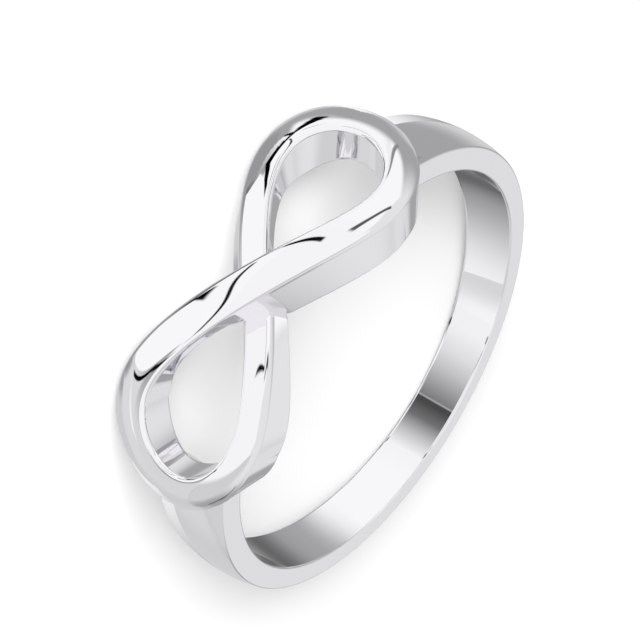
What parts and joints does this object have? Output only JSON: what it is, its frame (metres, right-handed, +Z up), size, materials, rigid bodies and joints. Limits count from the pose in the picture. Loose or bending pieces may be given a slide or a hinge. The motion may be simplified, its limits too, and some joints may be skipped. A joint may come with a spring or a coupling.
{
  "type": "infinity ring",
  "caption": "Finger ring in polished silver: a narrow band that carries a figure eight lying across the finger.",
  "frame": {"origin": "middle of the footprint, on the surface that the ring lies on", "axes": "+Z up from the surface; the ring lies on its side, with the figure eight towards -Y and along X, and the back of the band towards +Y"},
  "size_m": [0.0196, 0.02, 0.0067],
  "materials": {
    "silver": "polished"
  },
  "bodies": {
    "root": {"infinity_ring": "silver"}
  },
  "joints": []
}
